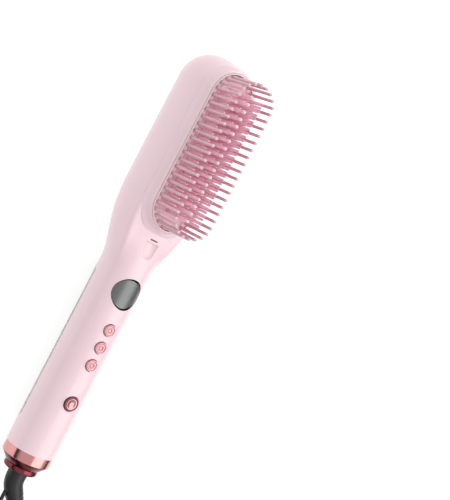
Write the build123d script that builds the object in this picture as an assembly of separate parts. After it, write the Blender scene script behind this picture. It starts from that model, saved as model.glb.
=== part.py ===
from build123d import *
import math
import os

# Steam hair straightener brush, in millimetres.
# X runs along the handle towards the head, Z points the way the bristles do, and the brush lies on its back
# at z = 0. The origin is under the middle of the body's length, cord left out.

os.makedirs("parts", exist_ok=True)

# ---------------------------------------------------------------- driving dimensions
body_length = 292.2          # swivel collar to head tip
handle_r = 16.8              # handle is a plain round barrel
wall = 2.0                   # moulded shell thickness
parting_drop = 4.0           # parting line below the handle's axis
slip = 0.05                  # radial clearance of a part that seats in another
gap = 0.3                    # clearance between parts that move apart

head_share = 0.4184          # head's rounded block, as a share of the body's length
neck_share = 0.1643
head_half_w = 26.5
head_corner_r = 22.0         # plan corners at the tip
head_belly = -1.3            # height of the widest line, from the handle's axis
shoulder_half_w = 22.4       # edge of the flat round the comb
shoulder_h = 14.0            # height of that flat, from the handle's axis
pad_half_w = 18.25           # flat pad on the head's back
neck_overlap = 6.35          # the neck's length stops short of the round end's centre by this much
neck_past = 1.0              # its form runs on this far past that centre
scoop_from_neck = 18.9       # thumb scoop's round end, from the neck's start
scoop_len = 7.3
scoop_r = 6.5
scoop_lift = 3.3             # scoop's centre line above the barrel
scoop_fall = 0.22            # slope of that line towards the head
scoop_room = 3.5             # extra thickness under the scoop
ion_slot_from_neck = 26.4
ion_slot_w = 0.9
ion_slot_half_l = 3.0

comb_share = 0.4973          # head tip to the comb's middle, as a share of the head's length
comb_straight_share = 0.3047 # half length of the straight part of every comb outline
rim_top_w = 17.6             # half widths of the comb's outlines, outside to inside
rim_base_w = 18.8
rim_spigot_w = 17.4
carrier_w = 16.0
ledge_w = 15.0
plate_w = 12.4
rim_h = 5.2                  # rim above the shoulder
carrier_t = 2.0
carrier_sink = 0.6           # bristle carrier below the rim's top
spigot_h = 2.5

bristle_rows_y = 14.3        # outer rows
bristle_end_reach = 12.2     # how far the end rows bulge past the straight ones
bristle_side_count = 17
bristle_span = 1.063         # first to last bristle of a row, as a share of the straight part
bristle_end_count = 8
bristle_h = 24.2
bristle_base_r = 1.0
bristle_tip_r = 0.88
bristle_round = 0.6
tooth_row_y = 4.9            # long heated teeth
tooth_count = 18
tooth_len = 3.3              # along the row
tooth_w = 1.5
tooth_h = 22.4
tooth_taper = 0.5
cap_r = 1.05
cap_shoulder = 0.9
short_rows_y = (-9.7, 0.0, 9.7)
short_count = 33
short_step = 0.5             # pitch of the short teeth, in bristle pitches
short_len = 1.5
short_h = 12.0
short_taper = 0.62
steam_hole_r = 0.8
steam_hole_count = 8
steam_row_y = 7.3
steam_hole_spread = 1.3      # pitch of the steam holes, in bristle pitches
tray_h = 3.0                 # heater room under the comb plate
tray_floor_t = 2.0
tray_w = 14.8
tray_room_w = 11.5
heater_half_w = 6.5
heater_reach = 45.0

tank_tail = 23.1             # collar face to the tank bay's near end
bay_past_neck = 4.5          # tank bay's far end, past the neck's start
bay_gap = 0.8                # bay outline outside the barrel's width
tank_end_gap = 0.2
catch_len = 17.0             # tank's near end, which carries the catch
tank_wall = 1.5
tank_lid_t = 1.4
reservoir_setback = 22.5     # far bulkhead, from the bay's far end
bulkhead_t = 1.2
deck_t = 1.8
bay_wall = 1.8
port_from_end = 30.5         # tank outlet, from the bay's far end
port_r = 2.0
filler_r = 4.0
filler_from_bay = 31.0

release_from_bay = 12.0
release_len = 10.2           # across the handle
release_w = 5.1
release_sink = 0.35          # face of the release button above the tank's lowest line
release_face_t = 3.4
release_gap = 0.6
guide_t = 1.2
guide_foot_z = 3.9

button_shares = (0.3555, 0.5157, 0.6759)    # from the power button to the display
button_r = 4.0
button_proud = 0.8
button_travel = 0.5
flange_rim = 0.8
flange_t = 1.8
flange_gap = 0.5             # flange under the shell
power_share = 0.3078         # power button along the barrel, from the end cap
power_r = 4.2
bezel_r = 5.25
bezel_proud = 0.4
display_setback = 10.9       # display to the neck's start
lens_r = 10.5
lens_t = 1.2
lens_window_r = 8.8

board_t = 1.6
board_past_power = 7.9
board_to_neck = 2.0
post_r = 1.6
post_y = 6.0
switch_side = 6.0
switch_h = 3.8
switch_stem_r = 1.6
switch_stem_h = 1.0
switch_gap = 0.1
module_half_l = 8.0
module_to_lens = 3.0

cap_step = 0.5               # end cap's band inside the barrel's surface
cap_band_len = 7.0
cap_cone_len = 4.5
cap_end_step = 4.8
cap_spigot_len = 3.0
journal_r = 8.95
collar_step = 5.0
collar_len = 3.6
collar_bore_r = 7.0

boot_root_r = 6.75
boot_mid_r = 5.5
boot_end_r = 3.9
boot_straight = 9.4
boot_bent = 36.0
boot_turn = 35.5             # degrees, towards -Y
cord_r = 2.8
cord_straight = 16.0         # out of the boot
cord_fall = 28.0             # run in which the lead comes down to the table
cord_turn = 16.0             # degrees, on the table
coil_turn = 32.0
coil_columns = 4
coil_layers = 2
coil_mid_r = 32.4
tail_run = 12.0
tail_shift = 5.7
tie_t = 0.8
tie_half_w = 4.0
coil_lift = 0.8              # the tie lies under the turns
plug_len = 30.0
plug_half_w = 10.5
plug_half_t = 7.0
plug_neck_r = 4.6
blade_w = 6.3
blade_t = 1.5
blade_len = 16.0
blade_pitch = 12.7
loop_r = 1.25                # hanging loop on the boot

boss_r = 2.3
screw_r = 1.3
screw_head_r = 2.4
screw_head_t = 0.8
screw_reach = 7.4            # thread above the deck
screw_to_neck = 5.5
near_screw_step = 1.0        # near screws behind the release button
spring_seat = 4.2            # release spring's top above the axis
spring_r = 2.1
spring_wire_r = 0.25
spring_coils = 4

pump_r = 6.5
pump_from_neck = 9.0
pump_len = 22.0
pump_neck_r = 2.4
ion_from_neck = 15.0
ion_len = 16.0
generator_half_w = 13.0
generator_half_l = 23.0
generator_h = 10.0
duct_from_comb = 14.7
duct_r = 4.0
duct_bore_r = 2.5
hose_r = 1.8
hose_bore_r = 1.0
hose_bend = 5.0

# ---------------------------------------------------------------- places worked out from them
axis_z = handle_r
tip_x = body_length / 2
collar_x = -body_length / 2
cap_rear_x = collar_x + collar_len + gap
cap_front_x = cap_rear_x + cap_cone_len + cap_band_len
parting_z = axis_z - parting_drop
head_length = head_share * body_length
neck_length = neck_share * body_length
head_x = tip_x - head_length
head_end_x = head_x + head_half_w       # centre of the head's round end
head_tip_x = tip_x - head_corner_r      # centre of the tip's corners
head_flat = head_half_w - head_corner_r
neck_x = head_end_x - neck_overlap - neck_length
comb_x = tip_x - comb_share * head_length
comb_straight = comb_straight_share * head_length
bristle_pitch = 2 * bristle_span * comb_straight / (bristle_side_count - 1)
shoulder_z = axis_z + shoulder_h
rim_z = shoulder_z + rim_h
comb_z = rim_z - carrier_sink           # face that the bristles stand on
plate_floor_z = comb_z - carrier_t
bay_x0 = collar_x + tank_tail
bay_x1 = neck_x + bay_past_neck
bay_mid_x = (bay_x0 + bay_x1) / 2
bay_straight = (bay_x1 - bay_x0) / 2 - handle_r - bay_gap
deck_top_z = parting_z + deck_t
inner_r = handle_r - wall
deck_half_w = inner_r - 0.7
tank_top_z = parting_z - tank_end_gap
port_x = bay_x1 - port_from_end
filler_x = bay_x0 + filler_from_bay
release_x = bay_x0 + release_from_bay
spring_seat_z = axis_z + spring_seat
display_x = neck_x - display_setback
power_x = cap_front_x + power_share * (neck_x - cap_front_x)
button_xs = [power_x + share * (display_x - power_x) for share in button_shares]
cap_band_r = handle_r - cap_step
cap_end_r = handle_r - cap_end_step
collar_r = handle_r - collar_step
bush_r = inner_r - 2.3                  # room inside the end cap's spigot
# the buttons' flanges hang under the shell, the switches under them, and the board under the switches
flange_top_z = axis_z + math.sqrt(inner_r**2 - (button_r + flange_rim) ** 2) - flange_gap
flange_low_z = flange_top_z - flange_t
switch_tip_z = flange_low_z - button_travel - switch_gap
board_z = switch_tip_z - switch_stem_h - switch_h       # top of the circuit board
board_x0 = power_x - board_past_power
board_x1 = neck_x - board_to_neck
screw_y = inner_r - boss_r - 1.3
board_half_w = screw_y - boss_r - 0.4
pump_y = pump_r + 0.1 - inner_r
pump_z = axis_z + 0.7
pump_x0 = neck_x + pump_from_neck
pump_x1 = pump_x0 + pump_len
ion_x0 = neck_x + ion_from_neck
ion_x1 = ion_x0 + ion_len
ion_y0 = pump_y + pump_r + 0.7
ion_y1 = inner_r - 3.8
ion_z0 = axis_z - 0.2
ion_z1 = axis_z + 7.8
generator_x0 = comb_x - generator_half_l
generator_x1 = comb_x + generator_half_l
generator_z1 = axis_z - 2.8
generator_z0 = generator_z1 - generator_h
inlet_y = -4.0
inlet_z = generator_z0 + generator_h / 2
duct_x = comb_x + duct_from_comb
thermostat_x = comb_x - 13.0
tray_z = plate_floor_z - tray_h - tray_floor_t


# ---------------------------------------------------------------- plain shapes
def rod_x(radius, x0, x1, y=0.0, z=axis_z):
    return Solid.make_cylinder(radius, x1 - x0, Plane(origin=(x0, y, z), z_dir=(1, 0, 0)))


def rod_z(radius, z0, z1, x, y=0.0):
    return Solid.make_cylinder(radius, z1 - z0, Plane(origin=(x, y, z0)))


def block(x0, x1, y0, y1, z0, z1):
    return Pos((x0 + x1) / 2, (y0 + y1) / 2, (z0 + z1) / 2) * Box(x1 - x0, y1 - y0, z1 - z0)


def stadium(half_w, z0, z1, x=comb_x, straight=comb_straight):
    """Upright prism with straight sides and full round ends."""
    ends = [rod_z(half_w, z0, z1, x + side * straight) for side in (-1, 1)]
    return Part() + block(x - straight, x + straight, -half_w, half_w, z0, z1) + ends[0] + ends[1]


def turned(points):
    """Solid of revolution about the handle's axis from (x, radius) points."""
    outline = Wire.make_polygon([Vector(x, 0, axis_z + r) for x, r in points], close=True)
    return Solid(revolve(Face(outline), Axis((0, 0, axis_z), (1, 0, 0)), 360).wrapped)


def upright(points, x, y=0.0):
    """Solid of revolution about a line along Z from (radius, z) points."""
    outline = Wire.make_polygon([Vector(x + r, y, z) for r, z in points], close=True)
    return Solid(revolve(Face(outline), Axis((x, y, 0), (0, 0, 1)), 360).wrapped)


def tube(points, radii, outer, inner=0.0):
    """Pipe along straight runs joined by tangent arcs."""
    path = FilletPolyline(*points, radius=radii)
    start = Plane(origin=path @ 0, z_dir=path % 0)
    pipe = sweep(start * Circle(outer), path=path)
    if inner:
        pipe = pipe - sweep(start * Circle(inner), path=path)
    return pipe


# ---------------------------------------------------------------- outer form of the body
def side_points(inset):
    """Half section of the head: pad edge, widest point and shoulder, with the middle of each arc between."""
    pad = (pad_half_w - 0.6 * inset, inset - axis_z)
    wide = (head_half_w - inset, head_belly)
    shoulder = (shoulder_half_w - inset, shoulder_h - inset)

    def middle(end, sign):
        across, along = wide[0] - end[0], abs(end[1] - wide[1])
        turn = 2 * math.atan2(across, along)
        radius = along / math.sin(turn)
        return (wide[0] - radius * (1 - math.cos(turn / 2)), wide[1] + sign * radius * math.sin(turn / 2))

    return pad, middle(pad, -1), wide, middle(shoulder, 1), shoulder


def half_section(inset, x, y0):
    """The head's section from the upright plane y = y0 outwards."""
    pad, low, wide, high, shoulder = [Vector(x, y, axis_z + h) for y, h in side_points(inset)]
    foot, top = Vector(x, y0, pad.Z), Vector(x, y0, shoulder.Z)
    edges = [
        Edge.make_line(foot, pad),
        Edge.make_three_point_arc(pad, low, wide),
        Edge.make_three_point_arc(wide, high, shoulder),
        Edge.make_line(shoulder, top),
        Edge.make_line(top, foot),
    ]
    return Face(Wire(edges))


def head_form(inset):
    """Head block: its side profile carried straight along both sides, round the tip's corners and round
    the neck end."""
    side = extrude(half_section(inset, head_end_x, 0), amount=head_tip_x - head_end_x, dir=(1, 0, 0))
    corner_axis = Axis((head_tip_x, head_flat, 0), (0, 0, 1))
    corner_face = half_section(inset, head_tip_x, head_flat)
    corner = revolve(corner_face, corner_axis, -90)
    turned_face = corner_face.rotate(corner_axis, -90)
    front = extrude(turned_face, amount=2 * head_flat, dir=(0, -1, 0))
    end = revolve(half_section(inset, head_end_x, 0), Axis((head_end_x, 0, 0), (0, 0, 1)), 180)
    return Part() + side + mirror(side, Plane.XZ) + corner + mirror(corner, Plane.XZ) + front + end


def head_reach(turn, inset):
    """Distance from the handle's axis to the head's section, in the direction at this angle above level."""
    pad, _, wide, _, shoulder = side_points(inset)
    if turn >= math.atan2(shoulder[1], shoulder[0]):
        return shoulder[1] / math.sin(turn)
    if turn <= math.atan2(pad[1], pad[0]):
        return pad[1] / math.sin(turn)
    end = shoulder if turn > math.atan2(wide[1], wide[0]) else pad
    across, along = wide[0] - end[0], abs(end[1] - wide[1])
    radius = along / math.sin(2 * math.atan2(across, along))
    centre = wide[0] - radius
    forward = centre * math.cos(turn) + wide[1] * math.sin(turn)
    return forward + math.sqrt(forward**2 - centre**2 - wide[1] ** 2 + radius**2)


def neck_ring(x, share, inset, lowered, points=40):
    """Closed curve of the neck at x: the barrel's circle drawn out to the head's section by this share."""
    curve = []
    for k in range(points):
        turn = 2 * math.pi * (k + 0.5) / points
        level = math.asin(math.sin(turn))
        barrel_reach = handle_r - inset
        reach = barrel_reach + share * (head_reach(level, inset) - barrel_reach)
        up = reach * math.sin(turn)
        if up > 0:
            up *= 1 - lowered / handle_r
        curve.append(Vector(x, reach * math.cos(turn), axis_z + up))
    return Wire([Edge.make_spline(curve, periodic=True)])


def neck_form(inset, lowered=0.0):
    """Neck: from the barrel's circle to the head's section, just past the centre of the head's round end."""
    first = Wire([Edge.make_circle(handle_r - inset, Plane((neck_x, 0, axis_z), (0, 1, 0), (1, 0, 0)))])
    rings = [first]
    # share of the neck's run, then share of the widening done there
    for run, share in [(0.22, 0.17), (0.44, 0.54), (0.66, 0.845), (0.83, 0.96), (1.0, 1.0)]:
        x = neck_x + run * (head_end_x + neck_past - neck_x)
        rings.append(neck_ring(x, share, inset + slip, lowered))
    return Solid.make_loft(rings)


# ---------------------------------------------------------------- housings
def screw_places():
    xs = (release_x - near_screw_step, neck_x - screw_to_neck)
    return [(x, side * screw_y) for x in xs for side in (-1, 1)]


outer_forms = [rod_x(handle_r, cap_front_x, neck_x), neck_form(0), head_form(0)]
inner_forms = [rod_x(inner_r, cap_front_x - 1, neck_x), neck_form(wall, scoop_room), head_form(wall)]


def outer_form(low, high):
    """The body between two heights, each of its forms cut before they are joined."""
    room = block(collar_x, tip_x + 1, -2 * handle_r, 2 * handle_r, low, high)
    barrel, neck, head = [form & room for form in outer_forms]
    return Part() + barrel + neck + head


def hollowed(form):
    return form - inner_forms[0] - inner_forms[1] - inner_forms[2]


def front_housing():
    shell = hollowed(outer_form(parting_z, rim_z))
    shell -= stadium(rim_spigot_w + slip, shoulder_z - 4, shoulder_z + 1)
    shell -= stadium(rim_base_w + slip, shoulder_z, rim_z)
    # round window and its seat, curved with the barrel
    shell -= rod_z(lens_window_r, board_z, rim_z + 5, display_x)
    seat = rod_z(lens_r + slip, axis_z, rim_z + 5, display_x)
    shell -= seat - rod_x(handle_r - lens_t - 0.1, display_x - 20, display_x + 20)
    for x in button_xs:
        shell -= rod_z(button_r + gap, axis_z + 10, rim_z + 5, x)
    shell -= rod_z(bezel_r + slip, axis_z + 10, rim_z + 5, power_x)
    # thumb scoop: a round-ended channel, deepest at its straight wall towards the head
    scoop_start = Vector(neck_x + scoop_from_neck, 0, axis_z + handle_r + scoop_lift)
    shell -= Solid.make_cylinder(scoop_r, scoop_len, Plane(origin=scoop_start, z_dir=(1, 0, -scoop_fall)))
    shell -= Pos(scoop_start) * Sphere(scoop_r)
    slot_x = neck_x + ion_slot_from_neck
    shell -= block(slot_x, slot_x + ion_slot_w, -ion_slot_half_l, ion_slot_half_l, axis_z + 5, axis_z + 16)
    # screw bosses and the release spring's seat reach down from the shell
    boss_room = rod_x(inner_r + wall / 5, bay_x0 - 5, neck_x)
    for x, y in screw_places():
        boss = rod_z(boss_r, deck_top_z, axis_z + inner_r, x, y)
        boss -= rod_z(screw_r + slip, deck_top_z - 1, deck_top_z + screw_reach + 3.4, x, y)
        shell += boss & boss_room
    shell += rod_z(spring_r + 0.9, spring_seat_z, axis_z + inner_r + wall / 2, release_x)
    # pads that hold the ion generator
    for x in (ion_x0 + 2, ion_x1 - 4):
        shell += block(x, x + 2, ion_y0 + 3, ion_y1 - 3, ion_z1, axis_z + inner_r - 2.8)
    return shell


def release_slot(room, z0, z1):
    """Room for the release button with this much clearance all round."""
    half_w, half_l = release_w / 2 + room, release_len / 2 + room
    return block(release_x - half_w, release_x + half_w, -half_l, half_l, z0, z1)


def rear_housing():
    lower = outer_form(-1, parting_z)
    shell = hollowed(lower)
    bay_half_w = handle_r + bay_gap
    shell += stadium(bay_half_w + bay_wall, -1, parting_z, bay_mid_x, bay_straight) & lower
    shell -= stadium(bay_half_w, -2, parting_z, bay_mid_x, bay_straight)
    shell += block(cap_front_x + 3.4, bay_x1 + 2.5, -deck_half_w, deck_half_w, parting_z, deck_top_z)
    shell -= rod_z(port_r + 1.3, parting_z - 1, deck_top_z + 1, port_x)
    shell -= release_slot(0.2, parting_z - 1, deck_top_z + 1)
    for x, y in screw_places():
        shell -= rod_z(screw_r + 0.2, parting_z - 1, deck_top_z + 1, x, y)
        shell -= rod_z(screw_head_r + 0.2, parting_z - 1, parting_z + screw_head_t + 0.1, x, y)
    # posts under the circuit board
    for x in (board_x0 + 3.5, board_x1 - 18.5):
        for y in (-post_y, post_y):
            shell += rod_z(post_r, deck_top_z, board_z - board_t, x, y)
    # saddles under the pump and feet under the steam generator
    pump_room = rod_x(pump_r + slip, pump_x0 - 2, pump_x1 + 2, pump_y, pump_z)
    for x in (pump_x0 + 5, pump_x1 - 6.5):
        shell += block(x, x + 1.6, pump_y - 5.5, pump_y + 5.5, wall * 0.6, pump_z - 2) - pump_room
    for x in (generator_x0 + 5, generator_x1 - 5):
        for y in (4 - generator_half_w, generator_half_w - 4):
            shell += rod_z(2.0, wall / 2, generator_z0, x, y)
    return shell


# ---------------------------------------------------------------- comb
def comb_frame():
    ring = stadium(rim_base_w, shoulder_z, rim_z)
    top_edges = ring.faces().sort_by(Axis.Z)[-1].outer_wire().edges()
    ring = chamfer(top_edges, length=rim_h / 2, length2=rim_base_w - rim_top_w)
    ring += stadium(rim_spigot_w, shoulder_z - spigot_h, shoulder_z)
    ring -= stadium(carrier_w + 0.2, plate_floor_z, rim_z + 1)
    ring -= stadium(ledge_w, shoulder_z - spigot_h - 1, rim_z)
    return ring


def bristle_carrier():
    return stadium(carrier_w, plate_floor_z, comb_z) - stadium(plate_w + 0.2, plate_floor_z - 1, comb_z + 1)


def outer_places():
    """Feet of the outer bristles: two straight rows and two rounded end rows."""
    half = (bristle_side_count - 1) / 2
    places = []
    for side in (-1, 1):
        for k in range(bristle_side_count):
            places.append((comb_x + (k - half) * bristle_pitch, side * bristle_rows_y))
        for k in range(1, bristle_end_count + 1):
            turn = math.pi * k / (bristle_end_count + 1) - math.pi / 2
            x = comb_x + side * (half * bristle_pitch + bristle_end_reach * math.cos(turn))
            places.append((x, bristle_rows_y * math.sin(turn)))
    return places


def outer_bristles():
    tip_z = comb_z + bristle_h
    profile = [
        (0, comb_z), (bristle_base_r, comb_z), (bristle_tip_r, tip_z - bristle_round),
        (bristle_tip_r - bristle_round, tip_z), (0, tip_z),
    ]
    one = upright(profile, 0)
    return Compound(children=[Pos(x, y, 0) * one for x, y in outer_places()])


def row_xs(count, step=1.0):
    return [comb_x + (k - (count - 1) / 2) * step * bristle_pitch for k in range(count)]


def blade(length, width, z0, height, taper):
    """Tooth on an oblong foot that narrows towards its tip."""
    foot = Pos(0, 0, z0) * Rectangle(length, width)
    tip = Pos(0, 0, z0 + height) * Rectangle(length * taper, width * taper)
    return loft([foot, tip])


def comb_plate():
    plate = stadium(plate_w, plate_floor_z, comb_z)
    for x in row_xs(steam_hole_count, steam_hole_spread):
        for side in (-1, 1):
            plate -= rod_z(steam_hole_r, plate_floor_z - 1, comb_z + 1, x, side * steam_row_y)
    tooth = blade(short_len, tooth_w, comb_z, short_h, short_taper)
    for y in short_rows_y:
        plate += [Pos(x, y, 0) * tooth for x in row_xs(short_count, short_step)]
    return plate


def tooth_places():
    return [(x, side * tooth_row_y) for side in (-1, 1) for x in row_xs(tooth_count)]


def heating_teeth():
    tooth = blade(tooth_len, tooth_w, comb_z, tooth_h, tooth_taper)
    return Compound(children=[Pos(x, y, 0) * tooth for x, y in tooth_places()])


def tooth_caps():
    z0 = comb_z + tooth_h
    top = comb_z + bristle_h
    one = upright([(0, z0), (cap_r, z0), (cap_r, z0 + cap_shoulder), (cap_r * 0.5, top), (0, top)], 0)
    return Compound(children=[Pos(x, y, 0) * one for x, y in tooth_places()])


def heater_tray():
    tray = stadium(tray_w, tray_z, plate_floor_z)
    tray -= stadium(tray_room_w, tray_z + tray_floor_t, plate_floor_z + 1)
    return tray - rod_z(duct_bore_r, tray_z - 1, plate_floor_z, duct_x)


def plate_heaters():
    """Two flat heaters, one each side of the steam duct."""
    z0 = tray_z + tray_floor_t
    room = duct_r + 2
    spans = [(comb_x - heater_reach, duct_x - room), (duct_x + room, comb_x + heater_reach)]
    bars = [block(x0, x1, -heater_half_w, heater_half_w, z0, plate_floor_z) for x0, x1 in spans]
    return Compound(children=bars)


def steam_generator():
    half_w = generator_half_w
    body = block(generator_x0, generator_x1, -half_w, half_w, generator_z0, generator_z1)
    body = fillet(body.edges().filter_by(Axis.Z), 3)
    body += rod_x(pump_neck_r, generator_x0 - 3, generator_x0, inlet_y, inlet_z)
    return body - rod_z(duct_bore_r, generator_z1 - 5, generator_z1 + 1, duct_x)


def steam_duct():
    bore = rod_z(duct_bore_r, generator_z1 - 1, tray_z + 1, duct_x)
    return rod_z(duct_r, generator_z1, tray_z, duct_x) - bore


def thermostat():
    shoulder = generator_z1 + 3.5
    can = rod_z(5.0, generator_z1, shoulder, thermostat_x)
    return can + rod_z(1.5, shoulder, shoulder + 2.5, thermostat_x)


# ---------------------------------------------------------------- controls
def round_button(x, radius, proud, flange_high):
    """Push button: a flange under the shell and a face with a raised ring and a shallow dish."""
    top = axis_z + handle_r + proud
    rim = radius + flange_rim
    profile = [
        (0, flange_low_z), (rim, flange_low_z), (rim, flange_high), (radius, flange_high),
        (radius, top - 0.4), (radius - 0.4, top), (radius - 1.1, top), (radius - 1.5, top - 0.35),
        (0, top - 0.35),
    ]
    return upright(profile, x)


def shell_button(x):
    return round_button(x, button_r, button_proud, flange_top_z)


def power_button():
    return round_button(power_x, power_r, button_proud - 0.2, flange_top_z - 1.1)


def power_bezel():
    top = axis_z + handle_r + bezel_proud
    low = flange_top_z - 0.8
    bore, rim = power_r + 0.2, bezel_r + 0.7
    profile = [
        (bore, low), (rim, low), (rim, low + 0.6), (bezel_r, low + 0.6),
        (bezel_r, top - 0.25), (bezel_r - 0.25, top), (bore, top),
    ]
    return upright(profile, power_x)


def display_lens():
    disc = rod_z(lens_r, axis_z + 5, rim_z, display_x) & rod_x(handle_r, display_x - 15, display_x + 15)
    return disc - rod_x(handle_r - lens_t, display_x - 16, display_x + 16)


def main_board():
    return block(board_x0, board_x1, -board_half_w, board_half_w, board_z - board_t, board_z)


def tact_switches():
    half = switch_side / 2
    pieces = []
    for x in [power_x] + button_xs:
        body = block(x - half, x + half, -half, half, board_z, board_z + switch_h)
        pieces.append(body + rod_z(switch_stem_r, board_z + switch_h, switch_tip_z, x))
    return Compound(children=pieces)


def display_module():
    half_w = board_half_w - 2
    top = axis_z + handle_r - lens_t - module_to_lens
    return block(display_x - module_half_l, display_x + module_half_l, -half_w, half_w, board_z, top)


# ---------------------------------------------------------------- water
def tank_form(inset, x0, x1):
    """Tank's outline, the bay's less its gap, in the barrel's round form, between x0 and x1."""
    plan = stadium(handle_r + bay_gap - tank_end_gap - inset, -1, tank_top_z + inset, bay_mid_x, bay_straight)
    return plan & rod_x(handle_r - inset, x0, x1)


def tank_wall_form(x0, x1):
    return tank_form(0, x0, x1) - tank_form(tank_wall, bay_x0, bay_x1)


def tank_shell():
    return tank_wall_form(bay_x0 + catch_len, bay_x1)


def tank_catch():
    """Near end of the tank, with the opening that the release button stands in."""
    return tank_wall_form(bay_x0, bay_x0 + catch_len) - release_slot(release_gap, -1, 2 * tank_wall)


def tank_lid():
    """Roof of the reservoir with the bulkheads at its two ends."""
    x0, x1 = bay_x0 + catch_len, bay_x1 - reservoir_setback
    lid = block(x0, x1, -handle_r, handle_r, tank_top_z - tank_lid_t, tank_top_z)
    for x in (x0, x1 - bulkhead_t):
        lid += block(x, x + bulkhead_t, -handle_r, handle_r, 0, tank_top_z)
    lid = lid & rod_x(handle_r - tank_wall - slip, x0, x1)
    lid -= rod_z(filler_r + slip, tank_top_z - 3, tank_top_z + 1, filler_x)
    return lid - rod_z(port_r + 1 + slip, tank_top_z - 3, tank_top_z + 1, port_x)


def tank_plug():
    z = tank_top_z
    return upright([(0, z - 2.4), (3.4, z - 2.4), (filler_r, z - 1.2), (filler_r, z), (0, z)], filler_x)


def outlet_valve():
    z, rim = tank_top_z, port_r + 1
    profile = [
        (0, z - 4), (rim, z - 4), (rim, z), (port_r, z), (port_r, z + 2.6), (1.2, z + 3.0), (0, z + 3.0),
    ]
    return upright(profile, port_x)


def port_seal():
    low, high = parting_z + 0.1, deck_top_z
    bore, rim = port_r + 0.1, port_r + 1.25
    return upright([(bore, low), (rim, low), (rim, high), (bore, high)], port_x)


def port_fitting():
    body = block(port_x - 4.5, port_x + 4.5, -4.5, 4.5, deck_top_z, deck_top_z + 5.6)
    body -= rod_z(port_r + 0.8, deck_top_z - 1, deck_top_z + 3, port_x)
    return body - rod_x(hose_bore_r + 0.1, port_x, port_x + 5, 0, pump_z)


def water_pump():
    body = rod_x(pump_r, pump_x0, pump_x1, pump_y, pump_z)
    body += rod_x(pump_r - 1.5, pump_x0 - 1.0, pump_x0, pump_y, pump_z)
    return body + rod_x(pump_neck_r, pump_x1, pump_x1 + 2.5, pump_y, pump_z)


def hose(start, end):
    """Soft tube between two fittings that face along the handle."""
    third = Vector((end.X - start.X) / 3, 0, 0)
    return tube([start, start + third, end - third, end], hose_bend, hose_r, hose_bore_r)


def inlet_tube():
    return hose(Vector(port_x + 4.5, 0, pump_z), Vector(pump_x0 - 1.0, pump_y, pump_z))


def outlet_tube():
    return hose(Vector(pump_x1 + 2.5, pump_y, pump_z), Vector(generator_x0 - 3, inlet_y, inlet_z))


def ion_generator():
    body = block(ion_x0, ion_x1, ion_y0, ion_y1, ion_z0, ion_z1)
    return fillet(body.edges().filter_by(Axis.Z), 1.0)


# ---------------------------------------------------------------- tank release
def tank_release():
    half_l, half_w = release_len / 2, release_w / 2
    plan = Pos(release_x, 0, release_sink) * RectangleRounded(release_w, release_len, half_w - slip)
    stem_low, stem_high = release_sink + release_face_t, deck_top_z + gap
    stem = block(release_x - 1.6, release_x + 1.6, 1 - half_l, half_l - 1, stem_low, stem_high)
    flange = block(
        release_x - half_w - 1, release_x + half_w + 1, -half_l - 1, half_l + 1, stem_high, stem_high + 1
    )
    return extrude(plan, amount=release_face_t) + stem + flange


def release_spring():
    low, high = deck_top_z + gap + 1, spring_seat_z
    height = high - low - 2 * spring_wire_r
    helix = Pos(release_x, 0, low + spring_wire_r) * Helix(height / spring_coils, height, spring_r)
    return sweep(Plane(origin=helix @ 0, z_dir=helix % 0) * Circle(spring_wire_r), path=helix)


def release_guide():
    tower = release_slot(guide_t, guide_foot_z, parting_z)
    return tower - release_slot(0.2, 0, parting_z + 1)


# ---------------------------------------------------------------- tail end
def end_cap():
    """Turned cap: band, cone and a spigot that enters the housing."""
    bore = journal_r + slip
    spigot_x = cap_front_x + cap_spigot_len
    cone_x = cap_rear_x + cap_cone_len
    floor_x = cap_front_x - 2
    return turned([
        (cap_rear_x, bore), (cap_rear_x, cap_end_r - 0.5), (cap_rear_x + 0.5, cap_end_r),
        (cone_x - 0.5, cap_band_r - 0.5), (cone_x, cap_band_r),
        (cap_front_x, cap_band_r), (cap_front_x, inner_r - 0.1), (spigot_x, inner_r - 0.1),
        (spigot_x, bush_r), (floor_x, bush_r), (floor_x, bore),
    ])


def swivel_bush():
    """Hollow journal that turns in the end cap, held by its inner flange."""
    x0, step_x, flange_x = collar_x + 0.6, cap_rear_x - gap, cap_front_x - 2 + gap
    bore, flange_r = 3.4, bush_r - 1.5
    return turned([
        (x0, bore), (x0, collar_bore_r), (step_x, collar_bore_r), (step_x, journal_r),
        (flange_x, journal_r), (flange_x, flange_r), (cap_front_x, flange_r), (cap_front_x, bore),
    ])


def swivel_collar():
    bore = collar_bore_r + slip
    front = collar_x + collar_len
    return turned([
        (collar_x, bore), (collar_x, collar_r - 1.8), (collar_x + 0.8, collar_r - 0.4),
        (collar_x + 1.3, collar_r), (front - 0.3, collar_r), (front, collar_r - 0.3), (front, bore),
    ])


def slip_ring_block():
    """Fixed contacts that the bush's rings run on."""
    x0 = cap_front_x + gap
    step_x, end_x = x0 + 2.5, x0 + 3.0
    rim, hub = bush_r - 0.1, 7.0
    return turned([(x0, 0), (x0, rim), (step_x, rim), (step_x, hub), (end_x, hub), (end_x, 0)])


def screws():
    pieces = []
    low = parting_z + 0.1
    for x, y in screw_places():
        head = rod_z(screw_head_r, low, low + screw_head_t, x, y)
        pieces.append(head + rod_z(screw_r, low + screw_head_t, deck_top_z + screw_reach, x, y))
    return Compound(children=pieces)


# ---------------------------------------------------------------- cord
boot_angle = math.radians(boot_turn)
boot_dir = Vector(-math.cos(boot_angle), -math.sin(boot_angle), 0)
boot_start = Vector(collar_x + 0.6, 0, axis_z)
boot_bend = Vector(collar_x - boot_straight, 0, axis_z)
boot_end = boot_bend + boot_dir * boot_bent


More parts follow.
